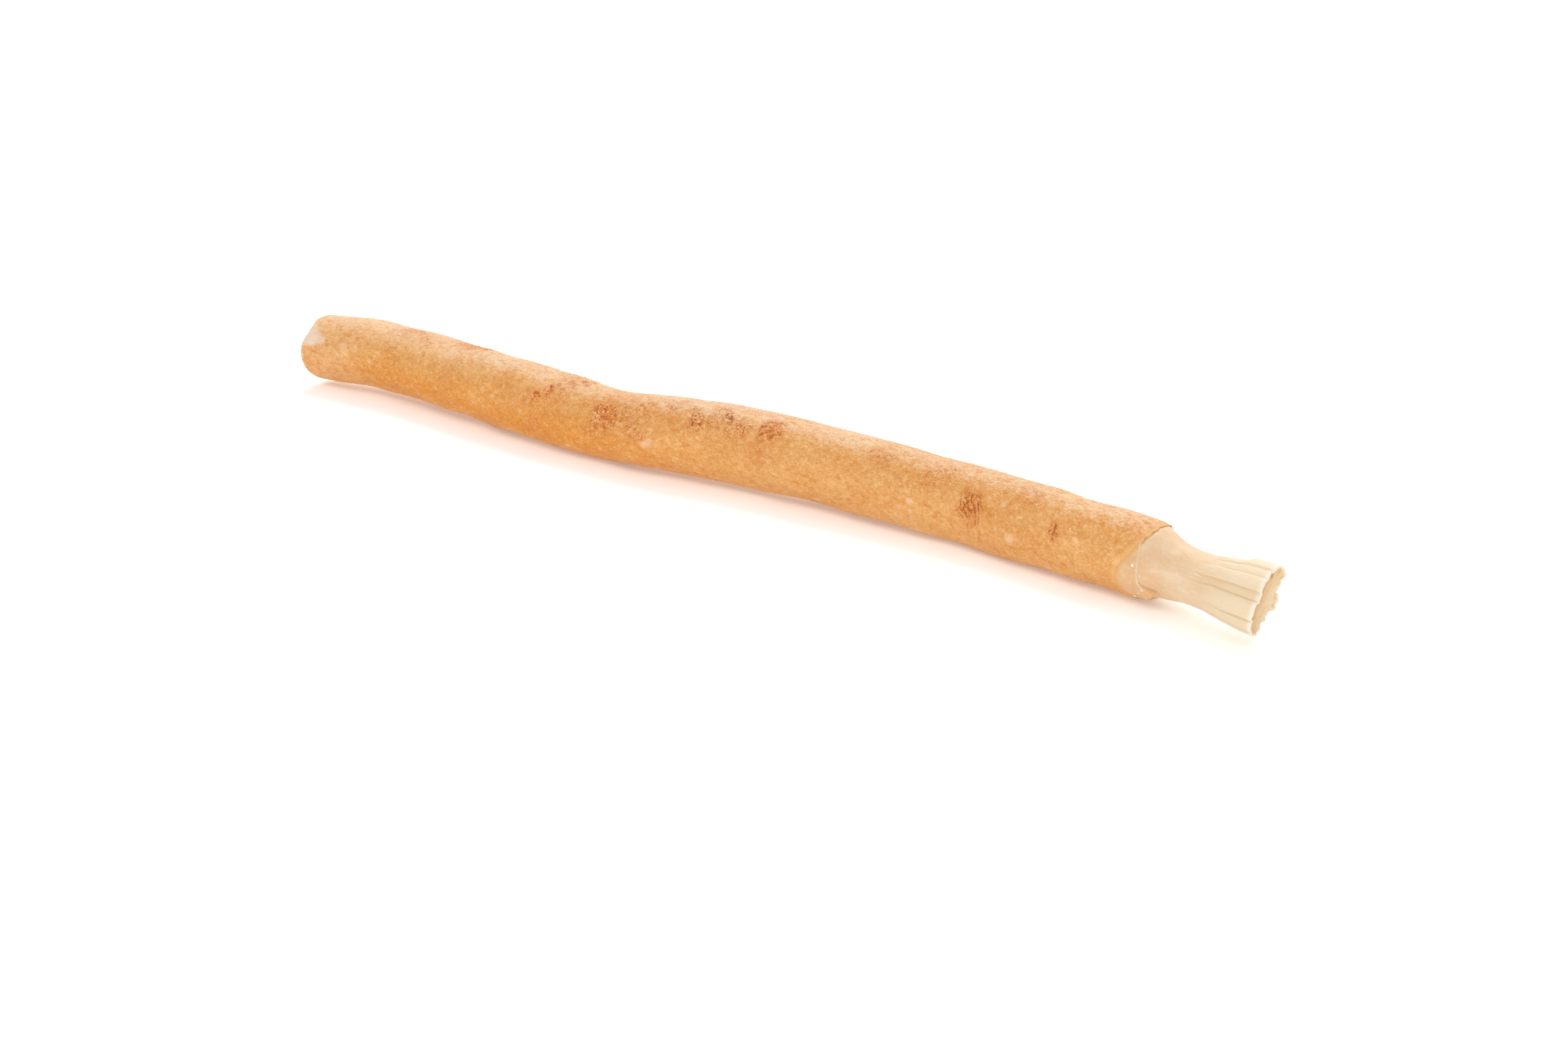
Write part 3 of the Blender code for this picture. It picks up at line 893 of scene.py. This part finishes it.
def cut_face_colour(shader):
    """Tan to cream across the brush's cut face, with the ends of its fibres."""
    ends = shader.noise((0.5, 5.5, 5.5), 3.0, 0.6)
    turn = math.radians(CUT_LONG_SIDE)
    inputs = {0: shader.grain((1.0, 1.0, 1.0)), 1: (0.0, math.sin(turn), math.cos(turn))}
    front = shader.node("ShaderNodeVectorMath", inputs, operation="DOT_PRODUCT").outputs["Value"]
    face = shader.mix(shader.spread(front, 3.0, -2.6), (206, 160, 104), (226, 200, 158))
    face = shader.mix(shader.spread(ends, 0.52, 0.66, 0.4), face, (224, 190, 140))
    return shader.mix(shader.spread(ends, 0.46, 0.34, 0.3), face, (200, 148, 88))


def wood_material(name, translucent):
    """Pale raw wood split into lengthwise fibres, more or less translucent."""
    shader = Shader(name)
    cloud = shader.noise((0.25, 0.7, 0.7), 3.0, 0.6, 0.3)
    streak = shader.noise((0.22, 2.4, 2.4), 3.0, 0.6, 0.2)
    fine = shader.noise((0.6, 8.0, 8.0), 3.0, 0.65, 0.3)
    tone_and_shade = shader.attribute("tone_and_shade")
    along, height = shader.place()
    shader.base = shader.mix(shader.spread(along, 137.0, 142.0), (220, 180, 138), (224, 193, 155))
    shader.stain(cloud, 0.40, 0.70, 0.8, (230, 206, 176))
    # Painted highlight: paler pinkish white over the top of the shoulder.
    painted_shoulder_highlight = shader.times(shader.spread(along, 141.0, 137.5), shader.spread(height, 0.5, 3.0))
    shader.lay(shader.times(painted_shoulder_highlight, 0.25), (228, 204, 178))
    shader.stain(streak, 0.56, 0.74, 0.50, (228, 188, 134))
    shader.stain(fine, 0.54, 0.70, 0.40, (240, 222, 190))
    shader.stain(fine, 0.45, 0.32, 0.50, (220, 180, 130))
    # Painted shade and highlight on the peeled wood: darker yellowish tan in the low splits between bundles
    # and lighter on their crests, from the relief; on the slivers and crumbs the number is a set tone.
    shader.stain(tone_and_shade, -0.3, -2.6, 0.6, (228, 184, 124))
    shader.stain(tone_and_shade, 0.4, 2.4, 0.3, (242, 224, 198))
    shader.stain(along, 143.0, 149.0, 0.5, (230, 216, 186))
    shader.stain("tip", 0.2, 1.0, 0.7, (235, 228, 213))
    shader.stain("cut", 0.1, 0.9, 0.95, cut_face_colour(shader))
    shader.lay(shader.attribute("crumb"), (255, 240, 214))
    shader.colour()
    shader.bump(shader.math("ADD", streak, fine), 0.5, 0.10)
    shader.plain(Roughness=0.58, Specular_IOR_Level=0.35)
    shader.plain(Subsurface_Weight=translucent, Subsurface_Scale=0.0008, Subsurface_Radius=(1.0, 0.7, 0.45))
    return shader.material


def all_round(sides):
    """Equal steps of angle round the stick."""
    return 360.0 * np.arange(sides) / sides


def bark_rows():
    """Places of the bark's rings, closest together on the front's scars and at both ends."""
    place = np.linspace(FAR_END, BARK_END, 4000)
    near = np.zeros_like(place)
    for at, side, half_length, *_ in SCARS:
        if abs(turned(side, 60.0)) < 100.0:
            near = np.maximum(near, smooth_step(2.0 - np.abs(place - at) / half_length))
    near = np.maximum(near, smooth_step((place - 131.0) / 2.0))
    near = np.maximum(near, 2.0 * smooth_step(1.6 - (place - FAR_END)))
    density = np.cumsum(1.0 + 0.9 * near)
    wanted = np.linspace(density[0], density[-1], BARK_RINGS)
    return np.interp(wanted, density, place)


def make_bark(material):
    """The bark, from the cut far end to its ring."""
    around = all_round(BARK_SIDES)
    chance = np.random.default_rng(5)
    s = bark_rows()[:, None]
    frayed = 0.13 * ragged_ring(chance, around)
    pulled = smooth_step((s - 120.0) / (BARK_END - 120.0))
    s = s + pulled * (bark_end(around) + frayed - BARK_END)
    distance = bark_surface(s, around)
    shares = np.array([0.14, 0.28, 0.42, 0.56, 0.70, 0.82, 0.90, 0.96, 0.99])[:, None]
    face_rings = len(shares)
    face_s = s[:1] + 0.15 * (1 - shares**2) + 0.02 * chance.normal(size=(face_rings, BARK_SIDES))
    lip_s = s[-1:] + np.array([[0.03], [0.0], [-0.6]])
    lip_distance = distance[-1:] - np.array([[0.05], [0.22], [1.0]])
    grid_s = np.vstack([face_s, s, lip_s])
    grid_distance = np.vstack([distance[:1] * shares, distance, lip_distance])
    labels = ("scar", "pit", "crack", "phase", "pale", "tone_and_shade")
    fields = {label: sampled(MAPS[label], grid_s, around) for label in labels}
    worn_rim = 0.55 * smooth_step((1.1 - grid_s) / 1.2 + 0.25 * fields["tone_and_shade"])
    inside_rim = np.arange(len(grid_s))[:, None] < face_rings - 1
    fields["wood"] = np.where(inside_rim, 1.0, worn_rim)
    fields["edge"] = smooth_step(1.0 - (bark_end(around) - grid_s) / EDGE_GOLD)
    fields["bare"] = bare_patch(grid_s, around)
    fields["bare"][:face_rings] *= smooth_step((shares - 0.82) / 0.17)
    return tube_piece("bark", grid_s, around, grid_distance, fields, material, chipped)


def fibre_roots(chance, count, on_scars):
    """Where the bark's fibres start: at random, off the flecks, the cracks, the chip and the bare patch."""
    tries = (12 if on_scars else 3) * count
    s = chance.uniform(FAR_END + 0.5, BARK_END, tries)
    theta = chance.uniform(0.0, 360.0, tries)
    worn = sampled(MAPS["pit"], s, theta)
    wanted = chance.uniform(0.0, 1.0, tries) < (worn if on_scars else 0.5 + 0.4 * worn)
    wanted &= s < bark_end(theta)
    wanted &= bare_patch(s, theta) < 0.3
    wanted &= chance.uniform(0.0, 1.0, tries) > 0.5 * sampled(MAPS["pale"], s, theta)
    wanted &= chance.uniform(0.1, 1.0, tries) > 1.6 * sampled(MAPS["groove"], s, theta)
    wanted &= chip_depth(LINE.place(s, theta, bark_radius(s, theta))[0]) < 0.04
    return s[wanted][:count, None], theta[wanted][:count, None]


def bark_strands(name, seed, count, length, width, curl, lift, stations, on_scars, material):
    """Many short curled fibres half sunk in the bark, all over it or only on the scars."""
    chance = np.random.default_rng(seed)
    s0, theta0 = fibre_roots(chance, count, on_scars)
    count = len(s0)
    worn = sampled(MAPS["pit"], s0, theta0)
    share = np.linspace(0.0, 1.0, stations)[None, :]
    heading = chance.normal(0.0, 0.75, (count, 1)) + worn * chance.normal(0.0, 0.8, (count, 1))
    heading = heading + np.pi * chance.integers(0, 2, (count, 1))
    angle = heading + curl * chance.normal(0.0, 1.0, (count, 1)) * (share - 0.3)
    reach = length * chance.lognormal(0.0, 0.35, (count, 1))
    step = reach / (stations - 1)
    s = s0 + np.cumsum(np.cos(angle), axis=1) * step
    theta = theta0 + np.degrees(np.cumsum(np.sin(angle), axis=1) * step / LINE.radius(s0))
    s = np.clip(s, FAR_END + 0.05, bark_end(theta) + 0.08)
    rise = lift * np.minimum(chance.gamma(1.2, 0.7, (count, 1)), 2.0) * (1.0 + worn)
    distance = bark_surface(s, theta) + rise * share**2 - 0.015
    thick = chance.lognormal(0.0, 0.3, (count, 1)) * np.sin(np.pi * (0.08 + 0.84 * share)) ** 0.7
    shade = 0.9 + 0.8 * worn + chance.normal(0.0, 1.0, (count, 1)) + 0.3 * share
    shares = {"pit": 0.8, "crack": 0.6, "phase": 1.0, "pale": 0.6}
    fields = {label: shares[label] * sampled(MAPS[label], s, theta) for label in shares}
    fields["scar"] = chance.uniform(0.3, 1.0, (count, 1)) * sampled(MAPS["scar"], s, theta)
    fields["tone_and_shade"] = shade + 0.0 * s
    fields["wood"] = 0.0 * s
    fields["edge"] = 0.8 * smooth_step(1.0 - (bark_end(theta) - s) / EDGE_GOLD)
    return strand_piece(name, s, theta, distance, width * thick, 0.4, 3, fields, material)


def band_radius(s, theta):
    """Distance from the centre line to the inner bark."""
    past = np.clip(s - bark_end(theta), 0.0, 3.5)
    return bark_radius(s, theta) - BAND_LEVEL - BAND_SLOPE * past / 3.5


def make_inner_bark(material):
    """The bevelled band of inner bark between the bark's ring and the peeled wood."""
    around = all_round(BAND_SIDES)
    start = bark_end(around) - 1.6
    stop = band_end(around)
    shares = np.concatenate([np.linspace(0.0, 0.82, 16), [0.88, 0.93, 0.965, 0.985, 1.0, 1.0, 1.0, 0.9]])
    sinks = np.concatenate([np.zeros(16), [0.0, 0.0, 0.004, 0.008, 0.02, 0.10, 0.5, 1.3]])
    s = start + shares[:, None] * (stop - start)
    s += 0.07 * smooth_step(shares[:, None] * 4 - 3) * ragged_ring(np.random.default_rng(23), around)
    distance = band_radius(s, around) - sinks[:, None] + 0.012 * sampled(noise_like(31), s, around)
    distance -= 0.08 * smooth_step((bark_end(around) - 0.3 - s) / 0.6)
    lip = bell(around, LIP_SIDE, LIP_SPREAD) * smooth_step((s - 136.2) / 0.8)
    near_bark = smooth_step(1.0 - (s - bark_end(around)) / 1.0)
    crease = smooth_step((s - band_end(around) + 0.45) / 0.4) * (1 - lip)
    fields = {"lip": lip, "near_bark": near_bark, "crease": crease}
    return tube_piece("inner_bark", s, around, distance, fields, material)


def bundle_of(theta):
    """For each angle: which bundle it is in, and how far across it from -1 to 1."""
    starts = np.array([row[0] for row in BUNDLES])
    wrapped = (theta - starts[0]) % 360.0 + starts[0]
    index = np.searchsorted(starts, wrapped, side="right") - 1
    stops = np.append(starts[1:], starts[0] + 360.0)
    across = 2.0 * (wrapped - starts[index]) / (stops[index] - starts[index]) - 1.0
    return index, across


def fibre_relief(s, theta):
    """Lengthwise fibre relief of the peeled wood, from strips that run along it."""
    chance = np.random.default_rng(41)
    relief = np.zeros_like(s)
    rows = 24
    for strips, length, height in ((24, 7.0, 0.009), (70, 4.0, 0.005), (150, 2.4, 0.003)):
        knots = chance.normal(size=(rows, strips))
        along = np.clip((s - 130.0) / length, 0.0, rows - 1.001)
        relief += height * between_knots(knots, along, theta / 360.0 * strips, smooth=True)
    return relief


def short_side(theta):
    """From 0 where the brush is cut longest to 1 where it is cut shortest."""
    return 0.5 - 0.5 * np.cos(np.radians(theta - CUT_LONG_SIDE))


def bundle_relief(s, theta):
    """Steps and splits between the bundles of the brush, deeper towards its tip."""
    wander = 2.0 * np.sin(0.55 * s + 0.7) + 1.0 * np.sin(1.3 * s)
    place = theta + wander * smooth_step((150.0 - s) / 8.0)
    index, across = bundle_of(place)
    proud = np.array([row[1] for row in BUNDLES])[index]
    grown = smooth_step((s - 142.5) / 5.0)
    opened = smooth_step((s - 145.5) / 4.0)
    relief = grown * (proud * smooth_step((1.0 - np.abs(across)) / 0.15) + 0.05 * (1 - across**2))
    for start, _, _, depth in BUNDLES:
        relief -= (0.01 * grown + depth * opened) * bell(place, start, 2.4)
    tuft = TUFT_HEIGHT * bell(theta, TUFT_SIDE, TUFT_SPREAD) * smooth_step((s - TUFT_START) / 1.6)
    return relief + tuft


def blobs(seed, x, y, size):
    """Smooth random bumps over a flat face, with a spread of about 1."""
    knots = np.random.default_rng(seed).normal(size=(64, 64))
    column = np.clip(x / size + 32.0, 0.0, 62.999)
    row = np.clip(y / size + 32.0, 0.0, 62.999)
    return 1.5 * between_knots(knots, row, column, smooth=True)


def cut_place(theta, share):
    """Where the brush is cut, at a share of its radius."""
    return BRUSH_END + CUT_SLANT * share * np.cos(np.radians(theta - CUT_LONG_SIDE))


def rim_place(theta):
    """Where each bundle ends, scalloped between its neighbours."""
    index, across = bundle_of(theta)
    reach = np.array([row[2] for row in BUNDLES])[index]
    nibbled = ragged_ring(np.random.default_rng(47), theta, 100)
    scallop = (0.04 + 0.30 * short_side(theta)) * np.abs(across) ** 5
    return cut_place(theta, 1.0) + reach - scallop + (0.02 + 0.13 * short_side(theta)) * nibbled


def cut_face(around, rim_s, rim_distance):
    """Places, distances and tufts of the cut face inside the brush's rim, rings first."""
    fall = np.linspace(1.0, 0.05, FACE_RINGS + 1)[1:, None]
    s = cut_place(around, rim_distance / CUT_RADIUS * fall) - HOLLOW + 0.25 * (fall**2 - 0.6)
    turn = np.radians(around)
    tufts = blobs(53, 3.3 * fall * np.sin(turn), 3.3 * fall * np.cos(turn), 0.7)
    s += 0.03 * tufts
    blend = smooth_step((1.0 - fall) / 0.25)
    return blend * s + (1 - blend) * rim_s, rim_distance * fall, tufts


def make_peeled_wood(material):
    """The shoulder, neck and flared end of pale wood, with the cut face hollow inside its rim."""
    around = all_round(BRUSH_SIDES)
    start = band_end(around) - 1.4
    stop = rim_place(around)
    shares = np.linspace(0.0, 1.0, BRUSH_RINGS)[:, None]
    s = start + shares * (stop - start)
    distance = outer_wood(s, around)
    relief = distance - peeled_radius(s, around)
    band = band_radius(s, around)
    clear = smooth_step((s - band_end(around)) / 1.2)
    under = smooth_step((band_end(around) - 0.05 - s) / 0.5)
    distance = (1 - clear) * np.minimum(distance, band - 0.004 - 0.10 * under) + clear * distance
    distance -= 0.06 * smooth_step((s - stop + 0.15) / 0.15) ** 2
    wall = np.array([[0.06], [0.14], [RIM_WALL], [RIM_WALL + 0.06], [RIM_WALL + 0.14]])
    wall_distance = distance[-1:] - wall
    wall_s = stop - np.array([[0.0], [0.02], [0.05], [0.08], [0.11]])
    face_s, face_distance, tufts = cut_face(around, wall_s[-1:], wall_distance[-1:])
    grid_s = np.vstack([s, wall_s, face_s])
    grid_distance = np.vstack([distance, wall_distance, face_distance])
    near_tip = smooth_step((s - stop + 1.1) / 1.1)
    wall_tip = np.array([[1.0], [1.0], [1.0], [0.4], [0.4]]) + 0.0 * wall_s
    wall_cut = np.array([[0.1], [0.5], [0.8], [1.0], [1.0]]) * (1.0 - 0.7 * short_side(around))
    # The tone number below is the relief itself: painted shade in the splits, painted highlight on the crests
    # and tufts.
    fields = {
        "tone_and_shade": np.vstack([relief / 0.07, 0.5 + 0.0 * wall_s, 0.5 * tufts]),
        "tip": np.vstack([near_tip, wall_tip, 0.0 * face_s]),
        "cut": np.vstack([0.0 * s, wall_cut, 1.0 + 0.0 * face_s]),
    }
    return tube_piece("peeled_wood", grid_s, around, grid_distance, fields, material)


def outer_wood(s, theta):
    """Distance from the centre line to the peeled wood with its relief."""
    fine = fibre_relief(s, theta) * (0.3 + 0.9 * smooth_step((s - 138.0) / 6.0))
    return peeled_radius(s, theta) + fine + bundle_relief(s, theta)


def neck_slivers(material):
    """Raised slivers of wood on the neck."""
    s0, theta0, length, wide = np.hsplit(np.array(SLIVERS), 4)
    part = np.linspace(0.0, 1.0, 12)[None, :]
    s = s0 + part * length
    theta = theta0 + 1.2 * part**2
    distance = outer_wood(s, theta) + 0.03 * part**2 - 0.02
    width = wide * np.sin(np.pi * (0.06 + 0.84 * part)) ** 0.6
    fields = {"tone_and_shade": 1.5 + 0.0 * s, "tip": 0.4 + 0.0 * s, "cut": 0.0 * s, "crumb": 0.2 + 0.0 * s}
    return strand_piece("neck_slivers", s, theta, distance, width, 0.45, 5, fields, material)


def edge_crumbs(material):
    """Small pale crumbs of torn wood along the inner bark's edge."""
    chance = np.random.default_rng(83)
    s0, theta0, size = np.hsplit(np.repeat(np.array(CRUMBS), 3, axis=0), 3)
    count = len(s0)
    size = size * chance.uniform(0.6, 1.3, (count, 1))
    s0 = s0 + size * chance.normal(0.0, 0.5, (count, 1))
    theta0 = theta0 + np.degrees(size * chance.normal(0.0, 0.5, (count, 1)) / 4.2)
    part = np.linspace(0.0, 1.0, 6)[None, :]
    heading = chance.uniform(0.0, 2 * np.pi, (count, 1))
    reach = 1.3 * size * (part - 0.5)
    s = s0 + reach * np.cos(heading)
    theta = theta0 + np.degrees(reach * np.sin(heading) / 4.2)
    distance = np.where(s < band_end(theta), band_radius(s, theta), outer_wood(s, theta)) + 0.1 * size
    wide = size * np.sin(np.pi * (0.10 + 0.80 * part)) ** 0.6
    fields = {"tone_and_shade": 1.5 + 0.0 * s, "tip": 0.5 + 0.0 * s, "cut": 0.0 * s, "crumb": 0.9 + 0.0 * s}
    return strand_piece("edge_crumbs", s, theta, distance, wide, 0.5, 6, fields, material)


def set_up(name, data, place, turn):
    """Set a camera or a light in the scene."""
    holder = bpy.data.objects.new(name, data)
    holder.location = place
    holder.rotation_euler = turn
    bpy.context.scene.collection.objects.link(holder)
    return holder


def make_camera():
    """A camera over the brush's side of the stick."""
    camera = bpy.data.cameras.new("camera")
    camera.lens = CAMERA_LENS
    camera.sensor_width = 36.0
    camera.clip_start = 0.01
    turn = (math.radians(90.0 - CAMERA_TILT), 0.0, math.radians(CAMERA_HEADING))
    bpy.context.scene.camera = set_up("camera", camera, CAMERA_PLACE, turn)


def soft_light(name, place, size, height, power):
    """A large soft light that looks at the stick."""
    light = bpy.data.lights.new(name, "AREA")
    light.shape = "ELLIPSE"
    light.size = size
    light.size_y = height
    light.energy = power
    x, y, z = place
    set_up(name, light, place, (math.atan2(math.hypot(x, y), z), 0.0, math.atan2(y, x) + math.radians(90.0)))


def make_studio():
    """A plain white floor and soft white light from all round."""
    bpy.ops.mesh.primitive_plane_add(size=6.0)
    floor = bpy.context.object
    floor.name = "floor"
    shader = Shader("floor")
    shader.plain(Base_Color=(0.97, 0.97, 0.97, 1.0), Roughness=0.9, Specular_IOR_Level=0.1)
    shader.plain(Emission_Color=(1.0, 1.0, 1.0, 1.0), Emission_Strength=0.2)
    floor.data.materials.append(shader.material)
    world = bpy.data.worlds.new("studio")
    world.use_nodes = True
    background = world.node_tree.nodes["Background"]
    background.inputs["Color"].default_value = (1.0, 1.0, 1.0, 1.0)
    background.inputs["Strength"].default_value = 0.68
    bpy.context.scene.world = world
    soft_light("key", (-0.25, 0.50, 0.60), 0.8, 0.8, 5.0)
    soft_light("fill", (0.36, -0.50, 0.55), 0.7, 0.3, 2.0)
    bpy.context.scene.view_settings.view_transform = "Standard"


def main():
    """Make every piece of the stick, and the studio round it."""
    make_camera()
    make_studio()
    bark = bark_material()
    wood = wood_material("peeled_wood", 0.3)
    torn = wood_material("torn_wood", 0.0)
    make_bark(bark)
    for layer in FIBRE_LAYERS:
        bark_strands(*layer, bark)
    make_inner_bark(inner_bark_material())
    make_peeled_wood(wood)
    neck_slivers(torn)
    edge_crumbs(torn)


main()
